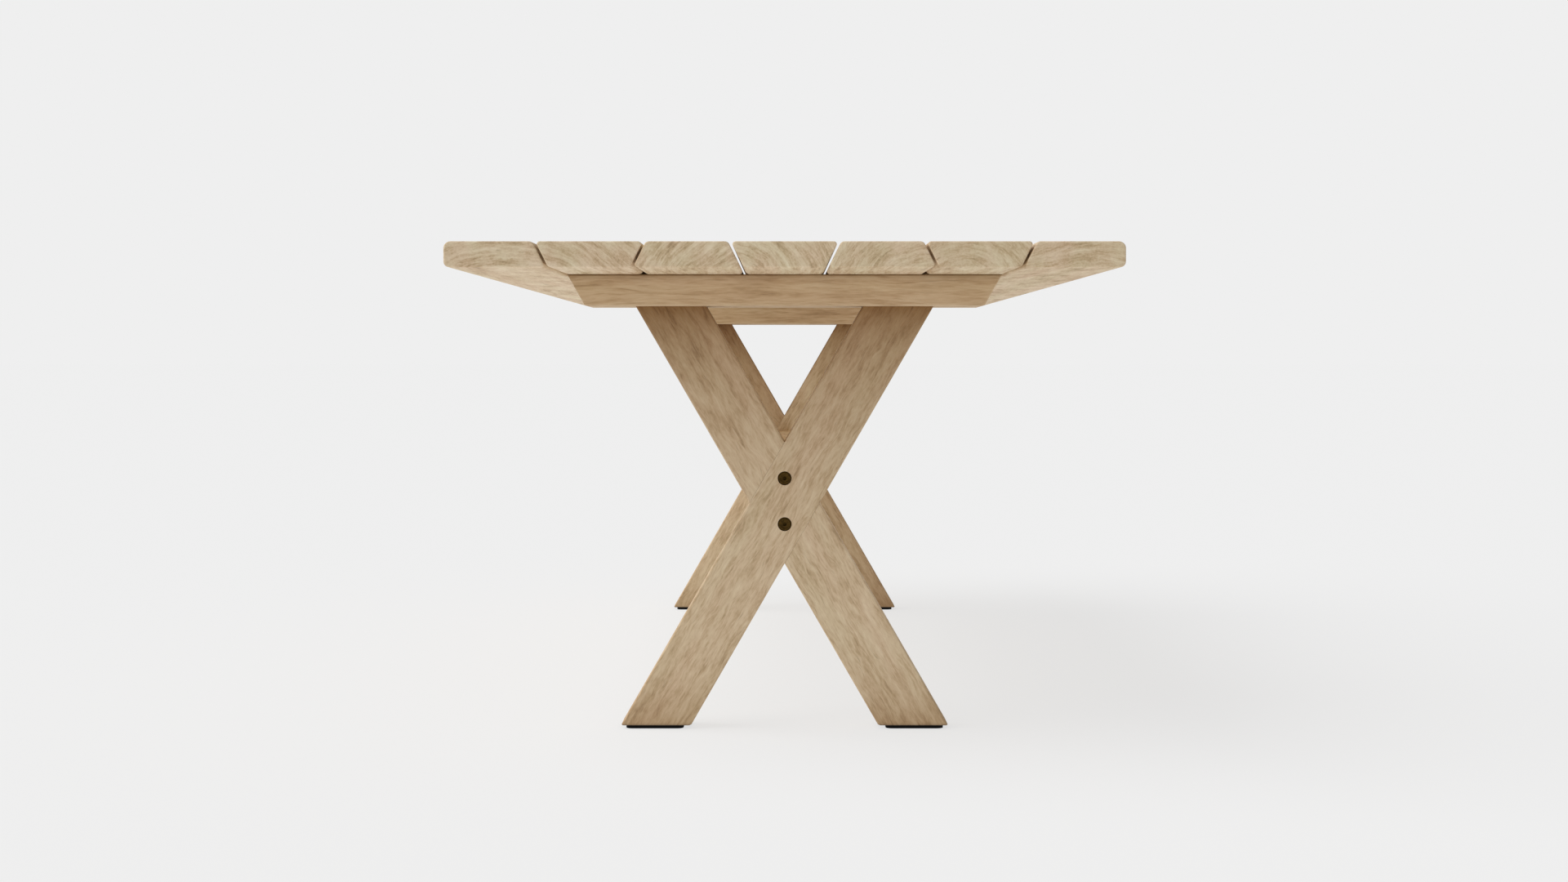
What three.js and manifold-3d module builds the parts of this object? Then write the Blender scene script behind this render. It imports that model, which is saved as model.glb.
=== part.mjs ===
// A slatted garden dining table: seven long planks on two crossed-leg frames, tied by one stretcher.
// Millimetres, +Z up, +Y along the table, origin on the ground under the middle of the table.

import * as THREE from "three";
import { mergeVertices } from "three/addons/utils/BufferGeometryUtils.js";
import Module from "manifold-3d";

// Driving dimensions of the whole table.
const TABLE_LENGTH = 2200;
const TABLE_WIDTH = 963;
const TABLE_HEIGHT = 740;

// Planks: sides slant alternately, so wide-topped and wide-bottomed planks take turns.
const PLANK_COUNT = 7;
const PLANK_THICKNESS = 36.5;
const PLANK_GAP = 3.5;
const GAP_SLANT = THREE.MathUtils.degToRad(26.5);
const PLANK_ACUTE_RADIUS = 4.2;
const PLANK_OBTUSE_RADIUS = 7.5;
const TABLE_TOP_CORNER_RADIUS = 10;
const TABLE_LOW_CORNER_RADIUS = 8;
const PLANK_END_EASING = 2.5;

// Crossed-leg frames, one near each end of the table.
const FRAME_SETBACK = 307; // table end to the middle of the frame
const LEG_TILT = THREE.MathUtils.degToRad(30);
const LEG_WIDTH = 94;
const LEG_DEPTH = 60;
const LEG_EASING = 4;
const CROSSING_HEIGHT = 352;
const LAP_CLEARANCE = 0.2;

// Cross beam under the planks, on top of each pair of legs.
const BEAM_HEIGHT = 48;
const BEAM_DEPTH = 125;
const BEAM_TOP_HALF_LENGTH = 332;
const BEAM_LOW_HALF_LENGTH = 305;
const BEAM_EASING = 3;
const BEAM_CORNER_RADIUS = 5;

// Batten across the middle of the table, which holds all seven planks.
const BATTEN_HEIGHT = 26;
const BATTEN_DEPTH = 60;
const BATTEN_TOP_HALF_LENGTH = 394;
const BATTEN_LOW_HALF_LENGTH = 380;

// Stretcher between the two leg crossings.
const STRETCHER_THICKNESS = 50;
const STRETCHER_HEIGHT = 120;
const STRETCHER_EASING = 4;

// Moulded foot pads with two spigots pressed into the foot.
const PAD_THICKNESS = 4.5;
const PAD_OUTER_INSET = 8;
const PAD_INNER_INSET = 11;
const PAD_SIDE_INSET = 7;
const PAD_CORNER_RADIUS = 10;
const SPIGOT_RADIUS = 4;
const SPIGOT_LENGTH = 14;
const SPIGOT_SPACING = 50;

// Fasteners, each as its radii and lengths.
const CROSSING_BOLT = { headRadius: 10.5, headHeight: 4, sunk: 1, shankRadius: 5, length: 132, socket: 3.6 };
const CROSSING_BOLT_SPACING = 71;
const CROSSING_BOLT_RISE = 2.5; // middle of the bolt pair above the crossing
const LEG_BOLT = { headRadius: 8.5, headHeight: 3.5, sunk: 4, shankRadius: 4, length: 98, socket: 2.6 };
const BOLT_CHAMFER = 1;
const STRETCHER_NUT = { radius: 7.5, length: 40, inset: 50, thread: 5.2 };
const LEG_NUT = { radius: 6, length: 30, depth: 44, thread: 4.2 };
const WOOD_SCREW = { headRadius: 4.5, headHeight: 3, rimHeight: 1, shankRadius: 2.5, tip: 7 };
const BEAM_SCREW_LENGTH = 58;
const BEAM_SCREW_SINK = 16;
const BATTEN_SCREW_LENGTH = 38;
const BATTEN_SCREW_SINK = 8;
const OUTER_BATTEN_SCREW = 371; // distance from the centre line, for the two outer planks
const EDGE_PIN = { radius: 5, length: 90, positions: [-1000, -520, 520, 1000] };
const BORE_CLEARANCE = 0.3;
const COUNTERBORE_CLEARANCE = 1;
const CUTTER_OVERSHOOT = 1; // how far a cutting tool starts outside the face it opens
const FINE_SIDES = 16;
const COARSE_SIDES = 8;
const ARC_STEPS = 3;

// Heights and spacings that follow from the driving dimensions.
const PLANK_UNDERSIDE = TABLE_HEIGHT - PLANK_THICKNESS;
const PLANK_MIDDLE = TABLE_HEIGHT - PLANK_THICKNESS / 2;
const PLANK_PITCH = (TABLE_WIDTH + PLANK_GAP) / PLANK_COUNT;
const BEAM_UNDERSIDE = PLANK_UNDERSIDE - BEAM_HEIGHT;
const BATTEN_UNDERSIDE = PLANK_UNDERSIDE - BATTEN_HEIGHT;
const FRAME_OFFSET = TABLE_LENGTH / 2 - FRAME_SETBACK;
const STRETCHER_HALF_LENGTH = FRAME_OFFSET - LEG_DEPTH / 2;
const HALF_LEG_RUN = LEG_WIDTH / 2 / Math.cos(LEG_TILT); // half the leg's width along a level cut

const wasm = await Module();
wasm.setup();

// ---- Solids -----------------------------------------------------------------------------------

function solidOf(geometry) {
  const bare = geometry.index ? geometry.toNonIndexed() : geometry;
  bare.deleteAttribute("normal");
  bare.deleteAttribute("uv");
  const merged = mergeVertices(bare, 1e-3);
  return new wasm.Manifold(
    new wasm.Mesh({
      numProp: 3,
      vertProperties: merged.attributes.position.array,
      triVerts: new Uint32Array(merged.index.array),
    }),
  );
}

function geometryOf(solid) {
  const mesh = solid.getMesh();
  const geometry = new THREE.BufferGeometry();
  geometry.setAttribute("position", new THREE.BufferAttribute(new Float32Array(mesh.vertProperties), 3));
  geometry.setIndex(new THREE.BufferAttribute(new Uint32Array(mesh.triVerts), 1));
  geometry.computeVertexNormals();
  return geometry;
}

function cut(body, tools) {
  return tools.reduce((rest, tool) => rest.subtract(tool), body);
}

// A closed outline through corners [x, z, radius], each corner rounded to its radius.
function roundedOutline(corners) {
  const shape = new THREE.Shape();
  corners.forEach(([x, z, radius], i) => {
    const corner = new THREE.Vector2(x, z);
    const before = new THREE.Vector2(...corners.at(i - 1)).sub(corner).normalize();
    const after = new THREE.Vector2(...corners[(i + 1) % corners.length]).sub(corner).normalize();
    const reach = radius / Math.tan(Math.acos(before.dot(after)) / 2);
    const start = before.multiplyScalar(reach).add(corner);
    const end = after.multiplyScalar(reach).add(corner);
    if (i === 0) shape.moveTo(start.x, start.y);
    else shape.lineTo(start.x, start.y);
    if (radius > 0) shape.quadraticCurveTo(x, z, end.x, end.y);
  });
  shape.closePath();
  return shape;
}

// An outline drawn in X and Z, extruded along Y from yLow to yHigh, its end edges eased.
function prismAlongY(shape, yLow, yHigh, easing = 0) {
  const geometry = new THREE.ExtrudeGeometry(shape, {
    depth: yHigh - yLow - 2 * easing,
    curveSegments: ARC_STEPS,
    bevelEnabled: easing > 0,
    bevelThickness: easing,
    bevelSize: easing,
    bevelOffset: -easing,
    bevelSegments: 2,
  });
  geometry.rotateX(Math.PI / 2); // outline's y becomes Z, extrusion runs towards -Y
  geometry.translate(0, yHigh - easing, 0);
  return solidOf(geometry);
}

function boxBetween(low, high) {
  const size = high.map((value, i) => value - low[i]);
  const centre = high.map((value, i) => (value + low[i]) / 2);
  return solidOf(new THREE.BoxGeometry(...size).translate(...centre));
}

// Turns a shape made along +Y so that it points along the given axis from a start point.
function aim(geometry, start, direction) {
  const turn = new THREE.Quaternion().setFromUnitVectors(new THREE.Vector3(0, 1, 0), direction);
  return geometry.applyQuaternion(turn).translate(...start);
}

const AXIS = {
  right: new THREE.Vector3(1, 0, 0),
  inward: new THREE.Vector3(0, 1, 0),
  up: new THREE.Vector3(0, 0, 1),
  down: new THREE.Vector3(0, 0, -1),
};

function rod(radius, length, start, direction, sides = FINE_SIDES) {
  const cylinder = new THREE.CylinderGeometry(radius, radius, length, sides).translate(0, length / 2, 0);
  return solidOf(aim(cylinder, start, direction));
}

// A flat-headed bolt with a hexagon socket, its head's face at the start point.
function socketBolt(size, start, direction) {
  const tip = size.headHeight + size.length;
  const profile = [
    [0, 0],
    [size.headRadius - BOLT_CHAMFER, 0],
    [size.headRadius, BOLT_CHAMFER],
    [size.headRadius, size.headHeight],
    [size.shankRadius, size.headHeight],
    [size.shankRadius, tip - BOLT_CHAMFER],
    [size.shankRadius - BOLT_CHAMFER, tip],
    [0, tip],
  ].map(([x, y]) => new THREE.Vector2(x, y));
  const body = solidOf(aim(new THREE.LatheGeometry(profile, FINE_SIDES), start, direction));
  const mouth = new THREE.Vector3(...start).addScaledVector(direction, -CUTTER_OVERSHOOT);
  return body.subtract(rod(size.socket, size.headHeight, mouth, direction, 6));
}

// A countersunk wood screw that points up, the bottom of its head at the start point.
function woodScrew(length, start) {
  const { headRadius, headHeight, rimHeight, shankRadius, tip } = WOOD_SCREW;
  const profile = [
    [0, 0],
    [headRadius, 0],
    [headRadius, rimHeight],
    [shankRadius, headHeight],
    [shankRadius, length - tip],
    [0, length],
  ].map(([x, y]) => new THREE.Vector2(x, y));
  return solidOf(aim(new THREE.LatheGeometry(profile, COARSE_SIDES), start, AXIS.up));
}

// The stepped hole for a wood screw: a counterbore from below, then the shank's bore.
function screwHole(length, sink, [x, y, underside]) {
  const start = [x, y, underside - CUTTER_OVERSHOOT];
  const shankReach = CUTTER_OVERSHOOT + sink + length + BORE_CLEARANCE;
  const headReach = CUTTER_OVERSHOOT + sink + WOOD_SCREW.headHeight;
  return [
    rod(WOOD_SCREW.shankRadius + BORE_CLEARANCE, shankReach, start, AXIS.up, COARSE_SIDES),
    rod(WOOD_SCREW.headRadius + COUNTERBORE_CLEARANCE, headReach, start, AXIS.up, COARSE_SIDES),
  ];
}

// A cross dowel: a short bar with a tapped hole across its middle.
function barrelNut(size, centre, direction, boltDirection) {
  const start = new THREE.Vector3(...centre).addScaledVector(direction, -size.length / 2);
  const holeStart = new THREE.Vector3(...centre).addScaledVector(boltDirection, -2 * size.radius);
  const body = rod(size.radius, size.length, start, direction);
  return body.subtract(rod(size.thread, 4 * size.radius, holeStart, boltDirection));
}

// ---- Materials --------------------------------------------------------------------------------

const FINISH = {
  topWood: { color: 0xc4af94, roughness: 0.75, metalness: 0 },
  frameWood: { color: 0xb49a78, roughness: 0.75, metalness: 0 },
  bronze: { color: 0x3c3222, roughness: 0.45, metalness: 0.8 },
  steel: { color: 0x9a9a98, roughness: 0.4, metalness: 1 },
  rubber: { color: 0x151413, roughness: 0.8, metalness: 0 },
};

function piece(name, solid, finish) {
  const mesh = new THREE.Mesh(geometryOf(solid), new THREE.MeshStandardMaterial(FINISH[finish]));
  mesh.name = name;
  return mesh;
}

// ---- Planks -----------------------------------------------------------------------------------

const plankNumbers = Array.from({ length: PLANK_COUNT }, (_, i) => i + 1);
const plankCentre = (number) => (number - (PLANK_COUNT + 1) / 2) * PLANK_PITCH;

// The gap to the right of a plank: its middle at mid-thickness, and which way it leans.
function gapAfter(number) {
  return { middle: plankCentre(number) + PLANK_PITCH / 2, lean: number % 2 === 0 ? 1 : -1 };
}

// X of a plank's side at height z; side is -1 for its left side and 1 for its right side.
function plankSideX(number, side, z) {
  const outside = number === (side < 0 ? 1 : PLANK_COUNT);
  if (outside) return (side * TABLE_WIDTH) / 2;
  const gap = gapAfter(side < 0 ? number - 1 : number);
  const slope = gap.lean * Math.tan(GAP_SLANT) * (z - PLANK_MIDDLE);
  return gap.middle + slope - (side * PLANK_GAP) / 2 / Math.cos(GAP_SLANT);
}

function plankOutline(number) {
  const corner = (side, z) => {
    const x = plankSideX(number, side, z);
    const flare = side * (x - plankSideX(number, side, PLANK_MIDDLE));
    const rimRadius = z === TABLE_HEIGHT ? TABLE_TOP_CORNER_RADIUS : TABLE_LOW_CORNER_RADIUS;
    if (flare === 0) return [x, z, rimRadius];
    return [x, z, flare > 0 ? PLANK_ACUTE_RADIUS : PLANK_OBTUSE_RADIUS];
  };
  return roundedOutline([
    corner(-1, PLANK_UNDERSIDE),
    corner(1, PLANK_UNDERSIDE),
    corner(1, TABLE_HEIGHT),
    corner(-1, TABLE_HEIGHT),
  ]);
}

const isCarriedByBeams = (number) => number > 1 && number < PLANK_COUNT;

function battenScrewX(number) {
  const centre = plankCentre(number);
  return isCarriedByBeams(number) ? centre : Math.sign(centre) * OUTER_BATTEN_SCREW;
}

function beamScrewHoles(number) {
  return [-FRAME_OFFSET, FRAME_OFFSET].flatMap((y) =>
    screwHole(BEAM_SCREW_LENGTH, BEAM_SCREW_SINK, [plankCentre(number), y, BEAM_UNDERSIDE]),
  );
}

function battenScrewHole(number) {
  return screwHole(BATTEN_SCREW_LENGTH, BATTEN_SCREW_SINK, [battenScrewX(number), 0, BATTEN_UNDERSIDE]);
}

// Pins run through the gaps beside the two outer planks.
const PINNED_GAPS = [
  { side: "left", middle: gapAfter(1).middle },
  { side: "right", middle: gapAfter(PLANK_COUNT - 1).middle },
];

function pinHoles() {
  const radius = EDGE_PIN.radius + BORE_CLEARANCE;
  const length = EDGE_PIN.length + 2 * BORE_CLEARANCE;
  return PINNED_GAPS.flatMap(({ middle }) =>
    EDGE_PIN.positions.map((y) => rod(radius, length, [middle - length / 2, y, PLANK_MIDDLE], AXIS.right)),
  );
}

function plank(number) {
  const body = prismAlongY(plankOutline(number), -TABLE_LENGTH / 2, TABLE_LENGTH / 2, PLANK_END_EASING);
  const beamScrews = isCarriedByBeams(number) ? beamScrewHoles(number) : [];
  const holes = [...battenScrewHole(number), ...beamScrews, ...pinHoles()];
  return piece(`plank_${number}`, cut(body, holes), "topWood");
}

function edgePins() {
  return PINNED_GAPS.flatMap(({ side, middle }) =>
    EDGE_PIN.positions.map((y, i) => {
      const start = [middle - EDGE_PIN.length / 2, y, PLANK_MIDDLE];
      const pin = rod(EDGE_PIN.radius, EDGE_PIN.length, start, AXIS.right);
      return piece(`${side}_edge_pin_${i + 1}`, pin, "steel");
    }),
  );
}

// ---- Cross members ----------------------------------------------------------------------------

// A bar across the table, shorter underneath than on top, its long edges eased.
function crossBar(topHalf, lowHalf, underside, depth) {
  const outline = roundedOutline([
    [-lowHalf, underside, BEAM_CORNER_RADIUS],
    [lowHalf, underside, BEAM_CORNER_RADIUS],
    [topHalf, PLANK_UNDERSIDE, 0],
    [-topHalf, PLANK_UNDERSIDE, 0],
  ]);
  return prismAlongY(outline, -depth / 2, depth / 2, BEAM_EASING);
}

function midBatten() {
  const body = crossBar(BATTEN_TOP_HALF_LENGTH, BATTEN_LOW_HALF_LENGTH, BATTEN_UNDERSIDE, BATTEN_DEPTH);
  return piece("mid_batten", cut(body, plankNumbers.flatMap(battenScrewHole)), "frameWood");
}

function battenScrews() {
  const head = BATTEN_UNDERSIDE + BATTEN_SCREW_SINK;
  return plankNumbers.map((number) => {
    const screw = woodScrew(BATTEN_SCREW_LENGTH, [battenScrewX(number), 0, head]);
    return piece(`batten_screw_${number}`, screw, "steel");
  });
}

// ---- Crossed-leg frame, in its own frame: middle of the legs at y = 0, outer face towards -Y ----

// X of a leg's centre line at height z; rise is 1 for the leg whose top is on the right.
const legX = (rise, z) => rise * (z - CROSSING_HEIGHT) * Math.tan(LEG_TILT);

function legOutline(rise, zLow, zHigh, widening = 0) {
  const run = HALF_LEG_RUN + widening;
  return roundedOutline([
    [legX(rise, zLow) - run, zLow, 0],
    [legX(rise, zLow) + run, zLow, 0],
    [legX(rise, zHigh) + run, zHigh, 0],
    [legX(rise, zHigh) - run, zHigh, 0],
  ]);
}

// The other leg's half of the lap, as the space it takes out of this leg.
function lapSpace(rise) {
  const [yLow, yHigh] = rise > 0 ? [-LAP_CLEARANCE / 2, LEG_DEPTH] : [-LEG_DEPTH, LAP_CLEARANCE / 2];
  return prismAlongY(legOutline(-rise, 0, TABLE_HEIGHT, LAP_CLEARANCE), yLow, yHigh);
}

// One leg's timber: eased edges, but square where the two legs cross.
function legTimber(rise) {
  const half = LEG_DEPTH / 2;
  const beyondTop = BEAM_UNDERSIDE + BEAM_HEIGHT;
  const eased = prismAlongY(legOutline(rise, PAD_THICKNESS, beyondTop), -half, half, LEG_EASING);
  const square = prismAlongY(legOutline(rise, PAD_THICKNESS, beyondTop), -half, half);
  const crossing = prismAlongY(legOutline(-rise, PAD_THICKNESS, beyondTop), -half, half);
  const aboveLow = [-TABLE_WIDTH, -LEG_DEPTH, BEAM_UNDERSIDE];
  const above = boxBetween(aboveLow, [TABLE_WIDTH, LEG_DEPTH, TABLE_HEIGHT]);
  return eased.add(square.intersect(crossing)).subtract(above);
}

const crossingBoltHeights = {
  upper: CROSSING_HEIGHT + CROSSING_BOLT_RISE + CROSSING_BOLT_SPACING / 2,
  lower: CROSSING_HEIGHT + CROSSING_BOLT_RISE - CROSSING_BOLT_SPACING / 2,
};

const crossingBoltStart = (z) => [0, -LEG_DEPTH / 2 + CROSSING_BOLT.sunk, z];

function crossingBoltBores() {
  const start = -LEG_DEPTH / 2 - CUTTER_OVERSHOOT;
  const recess = CUTTER_OVERSHOOT + CROSSING_BOLT.sunk + CROSSING_BOLT.headHeight + BORE_CLEARANCE;
  return Object.values(crossingBoltHeights).flatMap((z) => [
    rod(CROSSING_BOLT.headRadius + BORE_CLEARANCE, recess, [0, start, z], AXIS.inward),
    rod(CROSSING_BOLT.shankRadius + BORE_CLEARANCE, 2 * LEG_DEPTH, [0, start, z], AXIS.inward),
  ]);
}

// The bolt that pulls a leg's top up against the beam.
const legBoltX = (rise) => legX(rise, BEAM_UNDERSIDE - LEG_NUT.depth / 2);
const legNutHeight = BEAM_UNDERSIDE - LEG_NUT.depth;

function legBoltBores(rise) {
  const x = legBoltX(rise);
  const start = [x, 0, PLANK_UNDERSIDE + CUTTER_OVERSHOOT];
  const recess = CUTTER_OVERSHOOT + LEG_BOLT.sunk + LEG_BOLT.headHeight + BORE_CLEARANCE;
  const nutBoreStart = -LEG_NUT.length / 2 - BORE_CLEARANCE;
  return [
    rod(LEG_BOLT.headRadius + BORE_CLEARANCE, recess, start, AXIS.down),
    rod(LEG_BOLT.shankRadius + BORE_CLEARANCE, recess + LEG_BOLT.length, start, AXIS.down),
    rod(LEG_NUT.radius + BORE_CLEARANCE, LEG_DEPTH, [x, nutBoreStart, legNutHeight], AXIS.inward),
  ];
}

// A pad covers its foot's level cut, set in more from the inner tip than from the outer one.
const PAD_HALF_LENGTH = HALF_LEG_RUN - (PAD_OUTER_INSET + PAD_INNER_INSET) / 2;

function padX(rise) {
  const foot = legX(rise, PAD_THICKNESS);
  return foot + (Math.sign(foot) * (PAD_INNER_INSET - PAD_OUTER_INSET)) / 2;
}

function spigots(rise, radius, length, base) {
  const offsets = [-SPIGOT_SPACING / 2, SPIGOT_SPACING / 2];
  return offsets.map((offset) => rod(radius, length, [padX(rise) + offset, 0, base], AXIS.up));
}

function footPad(rise) {
  const x = padX(rise);
  const halfWidth = LEG_DEPTH / 2 - PAD_SIDE_INSET;
  const outline = roundedOutline([
    [x - PAD_HALF_LENGTH, -halfWidth, PAD_CORNER_RADIUS],
    [x + PAD_HALF_LENGTH, -halfWidth, PAD_CORNER_RADIUS],
    [x + PAD_HALF_LENGTH, halfWidth, PAD_CORNER_RADIUS],
    [x - PAD_HALF_LENGTH, halfWidth, PAD_CORNER_RADIUS],
  ]);
  const extrusion = { depth: PAD_THICKNESS, curveSegments: ARC_STEPS, bevelEnabled: false };
  const plate = solidOf(new THREE.ExtrudeGeometry(outline, extrusion));
  const pegs = spigots(rise, SPIGOT_RADIUS, SPIGOT_LENGTH + PAD_THICKNESS / 2, PAD_THICKNESS / 2);
  return pegs.reduce((body, peg) => body.add(peg), plate);
}

function leg(rise) {
  const holeDepth = CUTTER_OVERSHOOT + SPIGOT_LENGTH + BORE_CLEARANCE;
  const holeStart = PAD_THICKNESS - CUTTER_OVERSHOOT;
  const spigotHoles = spigots(rise, SPIGOT_RADIUS + BORE_CLEARANCE, holeDepth, holeStart);
  const bores = [...crossingBoltBores(), ...legBoltBores(rise), ...spigotHoles];
  return cut(legTimber(rise), [lapSpace(rise), ...bores]);
}

function crossBeam() {
  const body = crossBar(BEAM_TOP_HALF_LENGTH, BEAM_LOW_HALF_LENGTH, BEAM_UNDERSIDE, BEAM_DEPTH);
  const screwHoles = plankNumbers
    .filter(isCarriedByBeams)
    .map((number) => [plankCentre(number), 0, BEAM_UNDERSIDE])
    .flatMap((start) => screwHole(BEAM_SCREW_LENGTH, BEAM_SCREW_SINK, start));
  return cut(body, [...screwHoles, ...legBoltBores(-1), ...legBoltBores(1)]);
}

function stretcherNut(z) {
  const centre = [0, LEG_DEPTH / 2 + STRETCHER_NUT.inset, z];
  return barrelNut(STRETCHER_NUT, centre, AXIS.right, AXIS.inward);
}

// Everything at one end of the table; turned is true for the back frame, whose left is at +X.
function crossedLegFrame(end, turned) {
  const frame = new THREE.Group();
  frame.add(piece(`${end}_beam`, crossBeam(), "frameWood"));
  for (const [rise, side] of [
    [1, "right"],
    [-1, "left"],
  ]) {
    const head = [legBoltX(rise), 0, PLANK_UNDERSIDE - LEG_BOLT.sunk];
    const nut = [legBoltX(rise), 0, legNutHeight];
    frame.add(
      piece(`${end}_leg_rising_${side}`, leg(rise), "frameWood"),
      piece(`${end}_leg_bolt_${side}`, socketBolt(LEG_BOLT, head, AXIS.down), "steel"),
      piece(`${end}_leg_nut_${side}`, barrelNut(LEG_NUT, nut, AXIS.inward, AXIS.up), "steel"),
      piece(`${end}_foot_pad_${side}`, footPad(-rise), "rubber"),
    );
  }
  for (const [level, z] of Object.entries(crossingBoltHeights)) {
    const bolt = socketBolt(CROSSING_BOLT, crossingBoltStart(z), AXIS.inward);
    frame.add(
      piece(`${end}_crossing_bolt_${level}`, bolt, "bronze"),
      piece(`${end}_stretcher_nut_${level}`, stretcherNut(z), "steel"),
    );
  }
  for (const number of plankNumbers.filter(isCarriedByBeams)) {
    const start = [plankCentre(number), 0, BEAM_UNDERSIDE + BEAM_SCREW_SINK];
    const held = turned ? PLANK_COUNT + 1 - number : number;
    frame.add(piece(`${end}_plank_screw_${held}`, woodScrew(BEAM_SCREW_LENGTH, start), "steel"));
  }
  frame.position.y = turned ? FRAME_OFFSET : -FRAME_OFFSET;
  frame.rotation.z = turned ? Math.PI : 0;
  return frame;
}

// ---- Stretcher --------------------------------------------------------------------------------

function stretcherBores(end) {
  const inward = new THREE.Vector3(0, -end, 0);
  const start = end * (STRETCHER_HALF_LENGTH + CUTTER_OVERSHOOT);
  const reach = CROSSING_BOLT.sunk + CROSSING_BOLT.headHeight + CROSSING_BOLT.length - LEG_DEPTH;
  const nutY = end * (STRETCHER_HALF_LENGTH - STRETCHER_NUT.inset);
  const nutStart = -STRETCHER_NUT.length / 2 - BORE_CLEARANCE;
  return Object.values(crossingBoltHeights).flatMap((z) => [
    rod(CROSSING_BOLT.shankRadius + BORE_CLEARANCE, reach + 2 * CUTTER_OVERSHOOT, [0, start, z], inward),
    rod(STRETCHER_NUT.radius + BORE_CLEARANCE, STRETCHER_THICKNESS, [nutStart, nutY, z], AXIS.right),
  ]);
}

function stretcher() {
  const half = STRETCHER_THICKNESS / 2;
  const low = CROSSING_HEIGHT - STRETCHER_HEIGHT / 2;
  const high = CROSSING_HEIGHT + STRETCHER_HEIGHT / 2;
  const outline = roundedOutline([
    [-half, low, STRETCHER_EASING],
    [half, low, STRETCHER_EASING],
    [half, high, STRETCHER_EASING],
    [-half, high, STRETCHER_EASING],
  ]);
  const body = prismAlongY(outline, -STRETCHER_HALF_LENGTH, STRETCHER_HALF_LENGTH);
  return piece("stretcher", cut(body, [...stretcherBores(-1), ...stretcherBores(1)]), "frameWood");
}

// ---- Table ------------------------------------------------------------------------------------

const table = new THREE.Group();
table.add(...plankNumbers.map(plank), ...edgePins());
table.add(midBatten(), ...battenScrews(), stretcher());
table.add(crossedLegFrame("front", false), crossedLegFrame("back", true));

export default table;
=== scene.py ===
"""A slatted outdoor table in pale weathered wood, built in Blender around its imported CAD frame.

Metres, +Z up, +Y along the table. Every piece stands for the CAD node whose name it starts with.
"""

import math

import bmesh
import bpy
from mathutils import Matrix, Vector


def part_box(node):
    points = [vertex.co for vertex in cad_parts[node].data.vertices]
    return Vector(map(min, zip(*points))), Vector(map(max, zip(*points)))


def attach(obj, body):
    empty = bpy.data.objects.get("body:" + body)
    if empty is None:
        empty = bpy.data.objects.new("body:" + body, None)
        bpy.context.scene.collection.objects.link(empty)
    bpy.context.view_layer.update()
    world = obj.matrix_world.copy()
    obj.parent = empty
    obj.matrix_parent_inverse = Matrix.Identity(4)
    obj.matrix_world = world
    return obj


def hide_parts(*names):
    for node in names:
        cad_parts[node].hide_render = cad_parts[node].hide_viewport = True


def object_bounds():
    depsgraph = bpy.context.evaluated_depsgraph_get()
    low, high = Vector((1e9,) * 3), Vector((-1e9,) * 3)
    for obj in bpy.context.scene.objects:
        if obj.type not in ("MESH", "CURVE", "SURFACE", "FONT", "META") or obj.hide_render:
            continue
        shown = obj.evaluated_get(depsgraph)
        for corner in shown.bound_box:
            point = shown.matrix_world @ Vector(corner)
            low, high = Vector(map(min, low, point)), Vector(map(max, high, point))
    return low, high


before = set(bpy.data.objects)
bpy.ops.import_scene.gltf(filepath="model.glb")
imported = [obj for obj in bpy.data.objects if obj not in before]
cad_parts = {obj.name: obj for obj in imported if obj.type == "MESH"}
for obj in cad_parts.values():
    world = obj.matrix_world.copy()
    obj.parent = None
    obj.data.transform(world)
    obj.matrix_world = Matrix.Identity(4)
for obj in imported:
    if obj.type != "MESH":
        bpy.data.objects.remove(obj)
cad_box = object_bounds()

MM = 0.001

# ---- Sizes that the frame's boxes don't give directly -----------------------------------------

PLANK_COUNT = 7
PIN_COUNT = 4  # in each outer gap
PLANK_GAP = 3.5 * MM
GAP_SLANT = math.radians(26.5)
PLANK_ACUTE_RADIUS = 4.2 * MM
PLANK_OBTUSE_RADIUS = 7.5 * MM
RIM_TOP_RADIUS = 10 * MM
RIM_LOW_RADIUS = 8 * MM
PLANK_END_EASING = 2.5 * MM

LEG_TILT = math.radians(30)
LEG_EASING = 2.8 * MM
LAP_CLEARANCE = 0.2 * MM
SQUARE_EDGE = 0.2 * MM  # a leg's edge radius where the other leg lies beside it
SQUARE_MARGIN = 1 * MM  # how far the square edge reaches past the other leg
EDGE_CHANGES = (-1.02, -0.98, 0.98, 1.02)  # in square margins, the rings where an edge changes
FOOT_CHAMFER = 1.5 * MM

BEAM_END_RUN = 27 * MM  # how much shorter each beam end is underneath than on top
BATTEN_END_RUN = 14 * MM
BAR_EASING = 3 * MM
BAR_CORNER_RADIUS = 5 * MM
STRETCHER_EASING = 4 * MM

PAD_THICKNESS = 5.7 * MM
PAD_CORNER_RADIUS = 10 * MM
PAD_EASING = 0.4 * MM
PAD_CLEARANCE = 0.1 * MM
SPIGOT_RADIUS = 4 * MM
SPIGOT_SPACING = 50 * MM

SCREW_SHANK_RADIUS = 2.5 * MM
SCREW_HEAD_EASING = 0.3 * MM
SCREW_HEAD_RIM = 1 * MM
SCREW_HEAD_HEIGHT = 3 * MM
SCREW_THREAD = (0.6 * MM, 2.4 * MM)  # depth and pitch
SCREW_THREAD_START = 0.35  # share of the screw's length
SCREW_TIP = 7 * MM
SCREW_TIP_TAPER = (0.75, 0.12)  # shares of the shank's radius, where the tip starts and ends
SCREW_SIDES = 24

LEG_BOLT_SHANK_RADIUS = 4 * MM
LEG_BOLT_HEAD_HEIGHT = 3.5 * MM
LEG_BOLT_THREAD = (0.5 * MM, 1.25 * MM)
LEG_BOLT_THREAD_LENGTH = 40 * MM

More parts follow.
